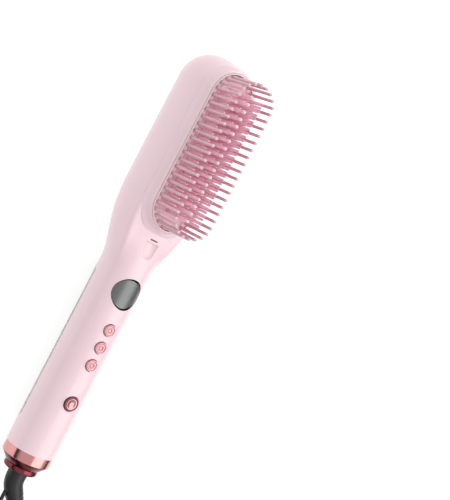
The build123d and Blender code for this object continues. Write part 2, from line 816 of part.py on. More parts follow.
def cord_boot():
    """Tapered strain relief that bends once."""
    path = FilletPolyline(boot_start, boot_bend, boot_end, radius=14.0)
    rings = []
    for share, radius in [(0, boot_root_r), (0.25, boot_mid_r + 0.6), (0.5, boot_mid_r), (1, boot_end_r)]:
        plane = Plane(origin=path @ share, x_dir=(0, 0, 1), z_dir=path % share)
        rings.append(Wire([Edge.make_circle(radius, plane)]))
    return Solid.make_loft(rings)


def hanging_loop():
    """Cord-like loop moulded on the outside of the boot's bend."""
    near, far = boot_bend + Vector(-1.5, 2.0, 0), boot_end + boot_dir * -3
    corners = [near, Vector(boot_end.X - 2.5, 1.8, axis_z), Vector(boot_end.X - 6.5, -10.5, axis_z), far]
    return tube(corners, [7.0, 5.0], loop_r) - cord_boot()


def rightward(direction):
    return Vector(direction.Y, -direction.X, 0)


cord_heading = boot_dir.rotate(Axis.Z, -cord_turn)
coil_heading = boot_dir.rotate(Axis.Z, -coil_turn)
cord_floor_z = cord_r + 0.2
cord_out = boot_end + boot_dir * cord_straight
touch_down = cord_out + boot_dir * cord_fall - Vector(0, 0, axis_z - cord_floor_z)
cord_points = [boot_end, cord_out, touch_down, touch_down + cord_heading * cord_straight]
coil_half_w = coil_columns * cord_r
coil_outer_turn = coil_mid_r + coil_half_w - cord_r
coil_centre = cord_points[-1] + rightward(coil_heading) * coil_outer_turn
coil_top = coil_lift + 2 * cord_r * coil_layers
tail_start = Vector(coil_centre.X, coil_centre.Y + coil_outer_turn, coil_top - cord_r)
tail_step = Vector(tail_run, 0, 0)
plug_entry = Vector(tail_start.X + 3 * tail_run, tail_start.Y - tail_shift, plug_half_t)
tail_points = [tail_start, tail_start + tail_step, plug_entry - tail_step, plug_entry]


def arc_radii(points):
    """Largest arcs that the neighbouring runs leave room for."""
    radii = []
    for a, b, c in zip(points, points[1:], points[2:]):
        run, turn = min((b - a).length, (c - b).length), math.radians((b - a).get_angle(c - b))
        radii.append(0.45 * run / math.tan(turn / 2))
    print("cord arcs", [round(r) for r in radii], "mm")
    return radii


def cord():
    return tube(cord_points, arc_radii(cord_points), cord_r)


def cord_tail():
    return tube(tail_points, arc_radii(tail_points), cord_r)


def cord_coil():
    """Outer shape of the coiled lead."""
    low, high = coil_lift, coil_top
    inner, outer, bevel = coil_mid_r - coil_half_w, coil_mid_r + coil_half_w, cord_r / 2
    profile = [
        (inner + bevel, low), (outer - bevel, low), (outer, low + bevel), (outer, high - bevel),
        (outer - bevel, high), (inner + bevel, high), (inner, high - bevel), (inner, low + bevel),
    ]
    return upright(profile, coil_centre.X, coil_centre.Y)


def coil_tie():
    """Flat strap round the bundle, on the side away from the brush."""
    x, y0, y1 = coil_centre.X, coil_centre.Y - tie_half_w, coil_centre.Y + tie_half_w
    inner = math.sqrt((coil_mid_r - coil_half_w) ** 2 - tie_half_w**2) - 0.1
    outer = coil_mid_r + coil_half_w + 0.1
    strap = block(x - outer - tie_t, x - inner + tie_t, y0, y1, 0, coil_top + tie_t)
    return strap - block(x - outer, x - inner, y0 - 1, y1 + 1, coil_lift, coil_top)


def plug_body():
    """Two-blade plug: a rounded block that narrows to the lead."""
    x, y, z = plug_entry.X, plug_entry.Y, plug_entry.Z
    stations = [
        (0, plug_neck_r, plug_neck_r, plug_neck_r - 0.1),
        (0.37 * plug_len, 0.7 * plug_half_w, 0.85 * plug_half_t, 4.5),
        (0.6 * plug_len, plug_half_w, plug_half_t, 4.0),
        (plug_len, plug_half_w, plug_half_t, 4.0),
    ]
    rings = []
    for along, half_w, half_t, corner in stations:
        plane = Plane((x + along, y, z), (0, 1, 0), (1, 0, 0))
        rings.append(plane * RectangleRounded(2 * half_w, 2 * half_t, corner))
    return loft(rings[:3]) + loft(rings[2:])


def plug_blades():
    x = plug_entry.X + plug_len
    z0, z1 = plug_entry.Z - blade_w / 2, plug_entry.Z + blade_w / 2
    pieces = []
    for side in (-1, 1):
        y = plug_entry.Y + side * blade_pitch / 2
        pieces.append(block(x, x + blade_len, y - blade_t / 2, y + blade_t / 2, z0, z1))
    return Compound(children=pieces)


pieces = {
    "front_housing": front_housing,
    "rear_housing": rear_housing,
    "comb_frame": comb_frame,
    "bristle_carrier": bristle_carrier,
    "outer_bristles": outer_bristles,
    "comb_plate": comb_plate,
    "heating_teeth": heating_teeth,
    "tooth_caps": tooth_caps,
    "heater_tray": heater_tray,
    "plate_heaters": plate_heaters,
    "steam_generator": steam_generator,
    "steam_duct": steam_duct,
    "thermostat": thermostat,
    "power_bezel": power_bezel,
    "power_button": power_button,
    "steam_button": lambda: shell_button(button_xs[0]),
    "heat_down_button": lambda: shell_button(button_xs[1]),
    "heat_up_button": lambda: shell_button(button_xs[2]),
    "display_lens": display_lens,
    "main_board": main_board,
    "tact_switches": tact_switches,
    "display_module": display_module,
    "tank_shell": tank_shell,
    "tank_catch": tank_catch,
    "tank_lid": tank_lid,
    "tank_plug": tank_plug,
    "outlet_valve": outlet_valve,
    "port_seal": port_seal,
    "port_fitting": port_fitting,
    "water_pump": water_pump,
    "inlet_tube": inlet_tube,
    "outlet_tube": outlet_tube,
    "ion_generator": ion_generator,
    "tank_release": tank_release,
    "release_spring": release_spring,
    "release_guide": release_guide,
    "end_cap": end_cap,
    "swivel_bush": swivel_bush,
    "swivel_collar": swivel_collar,
    "slip_ring_block": slip_ring_block,
    "housing_screws": screws,
    "cord_boot": cord_boot,
    "hanging_loop": hanging_loop,
    "cord": cord,
    "cord_coil": cord_coil,
    "coil_tie": coil_tie,
    "cord_tail": cord_tail,
    "plug_body": plug_body,
    "plug_blades": plug_blades,
}

for name, make in pieces.items():
    export_step(make(), f"parts/{name}.step")
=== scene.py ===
import math
import bmesh
import bpy
import numpy as np
from mathutils import Matrix, Vector


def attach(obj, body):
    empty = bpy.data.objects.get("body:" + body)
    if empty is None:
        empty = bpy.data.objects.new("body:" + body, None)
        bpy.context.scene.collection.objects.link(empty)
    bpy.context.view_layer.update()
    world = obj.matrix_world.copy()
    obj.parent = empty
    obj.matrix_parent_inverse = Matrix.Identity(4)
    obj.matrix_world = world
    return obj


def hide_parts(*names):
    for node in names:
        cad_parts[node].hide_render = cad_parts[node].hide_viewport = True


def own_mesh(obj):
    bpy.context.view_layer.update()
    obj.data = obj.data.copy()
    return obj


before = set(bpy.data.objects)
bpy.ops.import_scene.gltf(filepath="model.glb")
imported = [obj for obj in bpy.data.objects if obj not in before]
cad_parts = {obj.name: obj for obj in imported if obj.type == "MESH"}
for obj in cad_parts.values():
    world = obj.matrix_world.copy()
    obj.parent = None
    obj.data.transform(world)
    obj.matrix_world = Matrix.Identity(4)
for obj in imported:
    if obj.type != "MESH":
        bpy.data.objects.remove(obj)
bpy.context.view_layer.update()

scene = bpy.context.scene
mm = 0.001
print("frame loaded:", len(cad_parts), "nodes")

# the brush lies on its back: X runs to the head's tip, Z is the way the bristles point, and lengths are in mm
brush = {
    "axisZ": 16.8, "handleR": 16.8,
    "combX": 85.3, "combStraight": 37.25, "combZ": 35.4,
    "bristlePitch": 4.95, "bristleTopZ": 59.6,
    "powerX": -91.71, "buttonXs": (-64.41, -52.11, -39.81), "displayX": -14.91,
}
axisZ = brush["axisZ"]
handleR = brush["handleR"]
combZ = brush["combZ"]
pitch = brush["bristlePitch"]
bristleH = brush["bristleTopZ"] - combZ


# mesh work that every piece shares: a sheet is an array of points with its quads

def smooth(x):  # eases from 0 to 1: three x squared less two x cubed
    x = np.clip(x, 0.0, 1.0)
    return x * x * (3 - 2 * x)


def around(steps):  # the angles of one full turn, without its end
    return np.linspace(0, 2 * np.pi, steps, endpoint=False)


def gridFaces(rows, cols, loopRows, loopCols):  # quads between neighbouring rows and columns of a grid
    rowStarts = np.arange(rows if loopRows else rows - 1)
    colStarts = np.arange(cols if loopCols else cols - 1)
    i, j = np.meshgrid(rowStarts, colStarts, indexing="ij")
    nextI, nextJ = (i + 1) % rows, (j + 1) % cols
    corners = [i * cols + j, nextI * cols + j, nextI * cols + nextJ, i * cols + nextJ]
    return np.stack(corners, -1).reshape(-1, 4)


def sheetOf(grid, loopRows=False, loopCols=False):  # a grid of points with its quads
    rows, cols = grid.shape[:2]
    return grid.reshape(-1, 3), gridFaces(rows, cols, loopRows, loopCols)


def turnedZ(profile, x=0.0, steps=48):
    # (radius, z) points carried round an upright line at x: x and y are the radius times the cosine and sine
    turn = around(steps)
    r, z = np.asarray(profile, float).T
    gridX = x + np.outer(r, np.cos(turn))
    gridY = np.outer(r, np.sin(turn))
    return sheetOf(np.stack([gridX, gridY, np.repeat(z[:, None], steps, 1)], -1), loopCols=True)


def turnedX(profile, steps=128):
    # (x, radius) points carried round the handle's axis: y and z are the radius times the cosine and sine
    turn = around(steps)
    x, r = np.asarray(profile, float).T
    gridY = np.outer(r, np.cos(turn))
    gridZ = axisZ + np.outer(r, np.sin(turn))
    return sheetOf(np.stack([np.repeat(x[:, None], steps, 1), gridY, gridZ], -1), loopCols=True)


def copied(sheet, places):  # the same sheet at each (x, y, z) place
    points, quads = sheet
    places = np.asarray(places, float)
    firsts = np.arange(len(places)) * len(points)
    allPoints = (points[None] + places[:, None]).reshape(-1, 3)
    allQuads = (quads[None] + firsts[:, None, None]).reshape(-1, 4)
    return allPoints, allQuads


def rounded(points, radius, steps=4):
    # each corner of a line of points becomes a curve: its start and end weighted by the squares of the shares
    # left and done, and the corner itself by twice their product
    points = [np.asarray(p, float) for p in points]
    line = [points[0]]
    for before, corner, after in zip(points, points[1:], points[2:]):
        ends = []
        for neighbour in (before, after):
            away = neighbour - corner
            length = np.linalg.norm(away)
            ends.append(corner + away / length * min(radius, length / 2.01))
        for t in np.linspace(0, 1, steps + 1):
            line.append((1 - t) ** 2 * ends[0] + 2 * t * (1 - t) * corner + t * t * ends[1])
    return np.array(line + [points[-1]])


def roundedLoop(profile, radius):  # the same for a closed outline, which ends on its first point
    return rounded(profile + [profile[0]], radius)


def finishMesh(mesh, sharp):  # welds, turns the faces outwards, and shades smooth up to the sharp angle
    work = bmesh.new()
    work.from_mesh(mesh)
    bmesh.ops.remove_doubles(work, verts=work.verts, dist=1e-6)
    bmesh.ops.recalc_face_normals(work, faces=work.faces)
    work.to_mesh(mesh)
    work.free()
    mesh.shade_smooth()
    mesh.set_sharp_from_angle(angle=math.radians(sharp))


def addPiece(name, sheets, finish, body, hides=(), sharp=40):  # one object from sheets
    base, points, quads = 0, [], []
    for sheetPoints, sheetQuads in sheets:
        points.append(sheetPoints)
        quads.append(sheetQuads + base)
        base += len(sheetPoints)
    mesh = bpy.data.meshes.new(name)
    mesh.from_pydata((np.concatenate(points) * mm).tolist(), [], np.concatenate(quads).tolist())
    finishMesh(mesh, sharp)
    piece = bpy.data.objects.new(name, mesh)
    scene.collection.objects.link(piece)
    mesh.materials.append(materials[finish])
    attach(piece, body)
    if hides:
        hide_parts(*hides)


# materials

def linear(code):  # sRGB hex to linear RGBA
    channels = [int(code[k:k + 2], 16) / 255 for k in (1, 3, 5)]
    return tuple(c / 12.92 if c <= 0.04045 else ((c + 0.055) / 1.055) ** 2.4 for c in channels) + (1.0,)


def addNode(tree, kind, sockets=None, **settings):  # one node, its settings, and what its sockets take
    node = tree.nodes.new(kind)
    for key, value in settings.items():
        setattr(node, key, value)
    for socket, value in (sockets or {}).items():
        if isinstance(value, bpy.types.NodeSocket):
            tree.links.new(value, node.inputs[socket])
        else:
            node.inputs[socket].default_value = value
    return node


def newMaterial(name):  # a material with its surface shader and nothing else
    material = bpy.data.materials.new(name)
    material.use_nodes = True
    tree = material.node_tree
    tree.nodes.clear()
    shader = addNode(tree, "ShaderNodeBsdfPrincipled")
    addNode(tree, "ShaderNodeOutputMaterial", {"Surface": shader.outputs[0]})
    return material, tree, shader


def coat(weight, roughness):  # a clear lacquer over the colour
    return {"Coat Weight": weight, "Coat Roughness": roughness}


def scatter(weight, radius):  # light that spreads under the skin, as far as the radius in metres
    return {"Subsurface Weight": weight, "Subsurface Radius": radius, "Subsurface Scale": 1.0}


def mouldedMaterial(name, look):
    # moulded plastic, rubber or coating: a fine grain, slow colour drift and slightly uneven gloss; the real
    # grain of about 0.05 mm is too fine to show, so it is drawn 0.3 to 0.6 mm wide; a noise whose scale is
    # 1000 over a size in mm has spots of that size
    material, tree, shader = newMaterial(name)
    place = addNode(tree, "ShaderNodeTexCoord").outputs["Object"]
    grain = addNode(tree, "ShaderNodeTexNoise", {
        "Vector": place, "Scale": 1000 / look["grainMm"], "Detail": 3.0, "Roughness": 0.6})
    drift = addNode(tree, "ShaderNodeTexNoise", {
        "Vector": place, "Scale": 1000 / look["driftMm"], "Detail": 2.0})
    tint = addNode(tree, "ShaderNodeMix", {
        0: drift.outputs["Fac"], 6: linear(look["shade"]), 7: linear(look["color"])}, data_type="RGBA")
    tree.links.new(tint.outputs[2], shader.inputs["Base Color"])
    gloss = addNode(tree, "ShaderNodeMapRange", {
        "Value": grain.outputs["Fac"],
        "To Min": look["rough"] - look["roughSpread"], "To Max": look["rough"] + look["roughSpread"]})
    tree.links.new(gloss.outputs[0], shader.inputs["Roughness"])
    bump = addNode(tree, "ShaderNodeBump", {
        "Height": grain.outputs["Fac"], "Strength": look["bump"], "Distance": look["grainMm"] * mm * 0.2})
    tree.links.new(bump.outputs[0], shader.inputs["Normal"])
    shader.inputs["IOR"].default_value = look.get("ior", 1.5)
    for socket, value in look.get("shader", {}).items():
        shader.inputs[socket].default_value = value
    return material


def turnedMetalMaterial(name, look):
    # plated metal turned on a lathe: fine rings round the handle's axis catch the light in lines; a real feed
    # of 0.1 mm is too fine to show, so the rings are drawn 0.6 to 0.8 mm apart
    material, tree, shader = newMaterial(name)
    place = addNode(tree, "ShaderNodeTexCoord").outputs["Object"]
    along = addNode(tree, "ShaderNodeMapping", {"Vector": place, "Scale": look["stretch"]})
    rings = addNode(tree, "ShaderNodeTexNoise", {
        "Vector": along.outputs[0], "Scale": 1000 / look["ringMm"], "Detail": 2.0})
    smudge = addNode(tree, "ShaderNodeTexNoise", {
        "Vector": place, "Scale": 1000 / look["smudgeMm"], "Detail": 3.0})
    tint = addNode(tree, "ShaderNodeMix", {
        0: smudge.outputs["Fac"], 6: linear(look["shade"]), 7: linear(look["color"])}, data_type="RGBA")
    tree.links.new(tint.outputs[2], shader.inputs["Base Color"])
    mixed = addNode(tree, "ShaderNodeMath", {
        0: rings.outputs["Fac"], 1: smudge.outputs["Fac"]}, operation="MULTIPLY")
    gloss = addNode(tree, "ShaderNodeMapRange", {
        "Value": mixed.outputs[0], "To Min": look["rough"], "To Max": look["rough"] + look["roughSpread"]})
    tree.links.new(gloss.outputs[0], shader.inputs["Roughness"])
    bump = addNode(tree, "ShaderNodeBump", {
        "Height": rings.outputs["Fac"], "Strength": look["bump"], "Distance": 0.02 * mm})
    tree.links.new(bump.outputs[0], shader.inputs["Normal"])
    shader.inputs["Metallic"].default_value = 1.0
    return material


finishes = {
    # ABS moulded with a satin skin and lacquered: a broad soft highlight and milky shade
    "satinAbs": {
        "color": "#F9DDE3", "shade": "#F6D7DE", "grainMm": 0.5, "driftMm": 60,
        "rough": 0.34, "roughSpread": 0.05, "bump": 0.10, "ior": 1.54,
        "shader": coat(0.25, 0.18) | scatter(0.12, (0.004, 0.002, 0.002))},
    # the same ABS polished in the mould, paler as a painted highlight: a thin bright line along an edge
    "polishedAbsHighlight": {
        "color": "#FDEBEF", "shade": "#FBE4E9", "grainMm": 0.5, "driftMm": 60,
        "rough": 0.16, "roughSpread": 0.03, "bump": 0.02, "ior": 1.54, "shader": coat(0.6, 0.08)},
    # nylon moulded with a fine grain: dull, with no sharp highlight
    "mouldedNylon": {
        "color": "#F7D5DC", "shade": "#EEC5CE", "grainMm": 0.6, "driftMm": 20,
        "rough": 0.45, "roughSpread": 0.08, "bump": 0.2, "ior": 1.53},
    # thin moulded nylon, which lets a little light through: the bristles glow at their edges
    "nylonBristle": {
        "color": "#E5C1C9", "shade": "#D3ABB4", "grainMm": 0.4, "driftMm": 6,
        "rough": 0.48, "roughSpread": 0.06, "bump": 0.1, "ior": 1.53,
        "shader": scatter(0.3, (0.002, 0.0014, 0.0014))},
    # nylon melted to a smooth ball: a small clear highlight, its paler colour a painted highlight
    "nylonTipHighlight": {
        "color": "#F8DCE2", "shade": "#F0CFD7", "grainMm": 0.4, "driftMm": 6,
        "rough": 0.25, "roughSpread": 0.04, "bump": 0.05, "ior": 1.53,
        "shader": scatter(0.2, (0.002, 0.0014, 0.0014))},
    # moulded silicone: soft gloss, full colour
    "pinkSilicone": {
        "color": "#F8BED0", "shade": "#F0ADC2", "grainMm": 0.3, "driftMm": 4,
        "rough": 0.3, "roughSpread": 0.05, "bump": 0.05, "ior": 1.41},
    # milky silicone: pale dots that light up from inside
    "siliconeTip": {
        "color": "#FFE8ED", "shade": "#FFDCE4", "grainMm": 0.3, "driftMm": 4,
        "rough": 0.3, "roughSpread": 0.05, "bump": 0.05, "ior": 1.41,
        "shader": scatter(0.3, (0.003, 0.0018, 0.0018))},
    # sprayed ceramic coating: a faint eggshell texture and a deep, even pink between the teeth
    "ceramicCoating": {
        "color": "#FFD2DF", "shade": "#FFC2D3", "grainMm": 0.35, "driftMm": 5,
        "rough": 0.4, "roughSpread": 0.1, "bump": 0.3, "ior": 1.52,
        "shader": coat(0.2, 0.3) | scatter(0.4, (0.004, 0.0025, 0.0027))},
    # rose-gold plated plastic: mirror-like faces with slightly blurred edges
    "platedPlastic": {
        "color": "#D5A4A8", "shade": "#BD888D", "grainMm": 0.3, "driftMm": 9,
        "rough": 0.2, "roughSpread": 0.04, "bump": 0.04, "shader": {"Metallic": 0.95} | coat(0.2, 0.08)},
    # painted shade: the rose plating made darker, a deep ring round the paler button
    "bezelShadeRose": {
        "color": "#844650", "shade": "#6A343E", "grainMm": 0.3, "driftMm": 9,
        "rough": 0.18, "roughSpread": 0.04, "bump": 0.04, "shader": {"Metallic": 0.95} | coat(0.2, 0.08)},
    # acrylic with a dark half-mirror film behind it: grey, with soft bands of the room in it
    "mirrorAcrylic": {
        "color": "#7A7B7B", "shade": "#707271", "grainMm": 0.3, "driftMm": 12,
        "rough": 0.34, "roughSpread": 0.02, "bump": 0.0, "shader": {"Metallic": 0.8} | coat(0.1, 0.05)},
    # clear moulded polycarbonate with a smoke tint: the tank's inner walls show through it
    "smokedPolycarbonate": {
        "color": "#C3B4A5", "shade": "#B8A898", "grainMm": 0.4, "driftMm": 40,
        "rough": 0.06, "roughSpread": 0.02, "bump": 0.0, "ior": 1.58,
        "shader": {"Transmission Weight": 0.85} | coat(0.5, 0.03)},
    # nearly black polycarbonate: dark and glossy behind the smoked shell
    "darkPolycarbonate": {
        "color": "#1D1D1B", "shade": "#161614", "grainMm": 0.4, "driftMm": 30,
        "rough": 0.15, "roughSpread": 0.04, "bump": 0.05, "ior": 1.58},
    # painted dark reflection: flat black with no highlight at all, a crescent at the window's edge
    "darkReflectionBlack": {
        "color": "#0B0A0A", "shade": "#070606", "grainMm": 0.3, "driftMm": 8,
        "rough": 0.9, "roughSpread": 0.04, "bump": 0.0, "shader": {"Specular IOR Level": 0.05}},
    # glossy ABS of a stronger pink
    "roseAbs": {
        "color": "#F3B7BC", "shade": "#EBA7AD", "grainMm": 0.4, "driftMm": 8,
        "rough": 0.28, "roughSpread": 0.05, "bump": 0.05, "ior": 1.54, "shader": coat(0.3, 0.1)},
    # painted shade: a dull dark line that stands for the shade in a gap and in a slot
    "gapShadeMaroon": {
        "color": "#6B4650", "shade": "#583842", "grainMm": 0.4, "driftMm": 8,
        "rough": 0.45, "roughSpread": 0.06, "bump": 0.1, "ior": 1.41},
    # glass-filled nylon for parts near the heater: pale, dull and a little speckled
    "heatProofNylon": {
        "color": "#CFCBC4", "shade": "#BDB8B0", "grainMm": 0.5, "driftMm": 15,
        "rough": 0.55, "roughSpread": 0.08, "bump": 0.3, "ior": 1.53},
    # aluminium as it leaves the die: grey sheen with a cast grain
    "dieCastAluminium": {
        "color": "#B9BBBE", "shade": "#A4A6A9", "grainMm": 0.5, "driftMm": 10,
        "rough": 0.42, "roughSpread": 0.1, "bump": 0.3, "shader": {"Metallic": 1.0}},
    # zinc plated steel: cold, bright and slightly cloudy
    "zincPlatedSteel": {
        "color": "#B4B8BC", "shade": "#9B9FA4", "grainMm": 0.4, "driftMm": 5,
        "rough": 0.3, "roughSpread": 0.08, "bump": 0.1, "shader": {"Metallic": 1.0}},
    # glass-fibre board under green solder resist: the weave shows as a fine unevenness
    "glassFibreBoard": {
        "color": "#2F7148", "shade": "#215636", "grainMm": 0.6, "driftMm": 7,
        "rough": 0.4, "roughSpread": 0.1, "bump": 0.2, "ior": 1.55},
    # grey moulded silicone: soft and dull
    "siliconeRubber": {
        "color": "#C9C6C2", "shade": "#B4B0AB", "grainMm": 0.4, "driftMm": 10,
        "rough": 0.5, "roughSpread": 0.08, "bump": 0.1, "ior": 1.41},
    # soft black cable sheath: a grey sheen along its top
    "softPvc": {
        "color": "#1C1B1C", "shade": "#121112", "grainMm": 0.5, "driftMm": 25,
        "rough": 0.42, "roughSpread": 0.07, "bump": 0.15, "ior": 1.54},
    # plated brass: warm and bright
    "platedBrass": {
        "color": "#D7BE82", "shade": "#C2A566", "grainMm": 0.3, "driftMm": 6,
        "rough": 0.22, "roughSpread": 0.06, "bump": 0.05, "shader": {"Metallic": 1.0}},
}
ringStretch = (1.0, 0.02, 0.02)  # the noise is fifty times longer round the axis than along it
turnedFinishes = {
    # bright rose-gold plating: pale where the light falls along the turned rings
    "turnedRoseGold": {
        "color": "#E2A5A2", "shade": "#D39190", "ringMm": 0.8, "stretch": ringStretch, "smudgeMm": 9,
        "rough": 0.13, "roughSpread": 0.2, "bump": 0.25},
    # painted shade: the rose plating made darker, so the collar stands off from the cap
    "turnedRose": {
        "color": "#8B474E", "shade": "#743339", "ringMm": 0.7, "stretch": ringStretch, "smudgeMm": 9,
        "rough": 0.15, "roughSpread": 0.2, "bump": 0.25},
    # painted shade: the rose plating made deep red, so the cone reads as a shadowed ring with one bright line
    "coneShadeMaroon": {
        "color": "#7A2832", "shade": "#5F1A23", "ringMm": 0.6, "stretch": ringStretch, "smudgeMm": 9,
        "rough": 0.16, "roughSpread": 0.2, "bump": 0.25},
}
materials = {name: mouldedMaterial(name, look) for name, look in finishes.items()}
materials |= {name: turnedMetalMaterial(name, look) for name, look in turnedFinishes.items()}
print("materials ready:", len(materials))

nodesByFinish = {
    "satinAbs": ["front_housing", "rear_housing", "comb_frame", "release_guide"],
    "mouldedNylon": ["bristle_carrier"],
    "nylonBristle": ["outer_bristles"],
    "siliconeTip": ["tooth_caps"],
    "ceramicCoating": ["comb_plate", "heating_teeth"],
    "heatProofNylon": [
        "heater_tray", "steam_duct", "tact_switches", "display_module", "port_fitting", "water_pump",
        "ion_generator", "slip_ring_block", "swivel_bush"],
    "dieCastAluminium": ["plate_heaters", "steam_generator", "thermostat"],
    "platedPlastic": ["power_bezel", "power_button", "steam_button", "heat_down_button", "heat_up_button"],
    "roseAbs": ["tank_release"],
    "mirrorAcrylic": ["display_lens"],
    "glassFibreBoard": ["main_board"],
    "siliconeRubber": ["port_seal", "inlet_tube", "outlet_tube", "tank_plug"],
    "zincPlatedSteel": ["release_spring", "housing_screws"],
    "turnedRoseGold": ["end_cap", "swivel_collar"],
    "smokedPolycarbonate": ["tank_shell", "tank_catch"],
    "darkPolycarbonate": ["tank_lid", "outlet_valve"],
    "softPvc": ["cord_boot", "hanging_loop", "cord", "cord_coil", "coil_tie", "cord_tail", "plug_body"],
    "platedBrass": ["plug_blades"],
}
for finish, nodeNames in nodesByFinish.items():
    for nodeName in nodeNames:
        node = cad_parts[nodeName]
        node.data.materials.clear()
        node.data.materials.append(materials[finish])


# comb: rim, bristle carrier, bristles and heated teeth; profiles are (half width, z) points

comb = {
    "rimProfile": [
        (16.35, 33.5), (16.35, 35.7), (17.2, 35.1), (17.75, 35.8), (18.1, 34.9), (18.7, 33.5),
        (19.9, 32.3), (21.2, 31.4), (22.6, 30.72), (22.6, 30.2), (17.0, 30.2)],
    "rimCorner": 0.25,
    "rimTopW": 17.5, "tipPinch": 0.6,  # the rim's sloping foot is narrower at the head's tip
    "beadR": 0.45, "beadSpot": (16.75, 35.85),  # a polished bead runs round the rim's lip
    "carrierProfile": [(12.65, 33.4), (12.65, 35.4), (15.9, 35.4), (15.9, 33.4)], "carrierCorner": 0.45,
    "outerRowY": 14.3, "outerCount": 17, "endCount": 8, "endReach": 12.2,
}
shaft = {
    "baseR": 1.08, "tipR": 0.95, "ballR": 1.02, "polish": 0.06,  # the polished end is wider by this
    "flare": 0.25, "flareH": 0.7, "waistIn": 0.04, "waistH": 6.0, "neck": 2.1, "shoulderH": 0.75,
}
blade = {
    "rowY": 4.9, "height": 22.4, "flare": 0.2, "crown": 0.1,
    "squareness": 0.62,  # below 1 pushes a circle's points out to a rounded rectangle
    "count": 18, "foot": (3.3, 1.5), "tip": (1.9, 1.0),
    "fineCount": 35, "fineFoot": (2.0, 1.5), "fineTip": (1.7, 1.0),  # the far row is a comb of half the pitch
    "capR": 1.15, "capFoot": [(0.0, -0.5), (0.8625, -0.5), (1.15, 0.2)],
    "fineCapR": 0.76, "fineCapFoot": [(0.0, -0.2), (0.72, -0.2), (0.76, 0.3)], "fineCapDrop": 0.3,
    "capStretch": 1.3,
}


def aroundComb(profile, steps=48):
    # a closed profile carried round the comb's long outline: half circles of its half width at the two ends,
    # joined by straight sides; at the tip the foot is pulled in by the cosine's fourth power
    half = np.linspace(-np.pi / 2, np.pi / 2, steps)
    turn = np.concatenate([half, half + np.pi])
    side = np.repeat([1.0, -1.0], steps)
    w, z = np.asarray(profile, float).T
    pinch = np.where(side > 0, comb["tipPinch"] * np.cos(turn) ** 4, 0.0)
    w = w[:, None] - np.maximum(w - comb["rimTopW"], 0)[:, None] * pinch
    x = brush["combX"] + side * brush["combStraight"] + w * np.cos(turn)
    grid = np.stack([x, w * np.sin(turn), np.repeat(z[:, None], 2 * steps, 1)], -1)
    return sheetOf(grid, loopRows=True, loopCols=True)


def evenRow(count, step):  # places along X, centred on the comb
    return brush["combX"] + (np.arange(count) - (count - 1) / 2) * step


def standing(feet):  # (x, y) places lifted to the comb's floor
    return np.concatenate([feet, np.full((len(feet), 1), combZ)], 1)


def outerFeet():  # two straight rows, and two that bulge round the comb's ends as half ellipses
    xs = evenRow(comb["outerCount"], pitch)
    turn = np.pi * np.arange(1, comb["endCount"] + 1) / (comb["endCount"] + 1) - np.pi / 2
    rows = []
    for side in (-1, 1):
        endX = xs[-1] if side > 0 else xs[0]
        bulgeX = endX + side * comb["endReach"] * np.cos(turn)
        rows.append(np.stack([xs, np.full_like(xs, side * comb["outerRowY"])], -1))
        rows.append(np.stack([bulgeX, comb["outerRowY"] * np.sin(turn)], -1))
    return standing(np.concatenate(rows))


def domed(radius, top, stretch=1.0, steps=6):  # (radius, z) points of a round tip: a quarter circle
    turn = np.linspace(0, np.pi / 2, steps)
    return [(radius * math.cos(t), top - radius * stretch * (1 - math.sin(t))) for t in turn]


def bristle():  # (radius, z) points turned: a tapered shaft with a small foot flare and a slightly wider ball
    neck = bristleH - shaft["neck"] * shaft["ballR"]
    stem = [
        (0.0, 0.0), (shaft["baseR"] + shaft["flare"], 0.0), (shaft["baseR"], shaft["flareH"]),
        (shaft["baseR"] - shaft["waistIn"], shaft["waistH"]), (shaft["tipR"], neck),
        (shaft["ballR"], neck + shaft["shoulderH"])]
    return turnedZ(stem + domed(shaft["ballR"], bristleH), steps=14)


def tipBall():  # smooth ball that closes over a bristle's end: a quarter circle below and one above
    radius = shaft["ballR"] + shaft["polish"]
    turn = np.linspace(0, np.pi / 2, 4)[:-1]
    lower = [(radius * math.sin(t), bristleH - radius - radius * math.cos(t)) for t in turn]
    return turnedZ(lower + domed(radius, bristleH), steps=14)


def tooth(foot, tip, steps=20, rows=9):
    # blade of oblong section: a circle whose cosine and sine are raised to the squareness, scaled to half
    # sides that run evenly from foot to tip, with a low crown on top
    turn = around(steps)
    cx, cy = np.cos(turn), np.sin(turn)
    shapeX = np.sign(cx) * np.abs(cx) ** blade["squareness"]
    shapeY = np.sign(cy) * np.abs(cy) ** blade["squareness"]
    share = np.linspace(0, 1, rows)
    halfX = (foot[0] + (tip[0] - foot[0]) * share) / 2
    halfY = (foot[1] + (tip[1] - foot[1]) * share) / 2
    halfX[0] += blade["flare"]
    halfY[0] += blade["flare"]
    x, y = np.outer(halfX, shapeX), np.outer(halfY, shapeY)
    body = np.stack([x, y, np.repeat((share * blade["height"])[:, None], steps, 1)], -1)
    crown = np.repeat([[[0.0, 0.0, blade["height"] + blade["crown"]]]], steps, 1)
    return sheetOf(np.concatenate([body, crown]), loopCols=True)


def toothRow(count, step, y):  # feet of one row of teeth
    return standing(np.stack([evenRow(count, step), np.full(count, y)], -1))


rimPoints = roundedLoop(comb["rimProfile"], comb["rimCorner"])[:-1]
addPiece("combRim", [aroundComb(rimPoints)], "satinAbs", "root", hides=["comb_frame"], sharp=60)
beadTurn = np.linspace(0, 2 * np.pi, 13)
bead = np.add(comb["beadSpot"], comb["beadR"] * np.stack([np.cos(beadTurn), np.sin(beadTurn)], -1))
# the bead's paler colour is a painted highlight along the rim's lip
addPiece("rimBead", [aroundComb(bead)], "polishedAbsHighlight", "root", sharp=60)
carrierPoints = roundedLoop(comb["carrierProfile"], comb["carrierCorner"])[:-1]
addPiece("bristleCarrier", [aroundComb(carrierPoints)], "mouldedNylon", "root",
         hides=["bristle_carrier"], sharp=60)
outerPlaces = outerFeet()
addPiece("outerBristles", [copied(bristle(), outerPlaces)], "nylonBristle", "root",
         hides=["outer_bristles"], sharp=60)
# the tips' paler colour is a painted highlight on the bristle ends
addPiece("bristleTips", [copied(tipBall(), outerPlaces)], "nylonTipHighlight", "root", sharp=60)

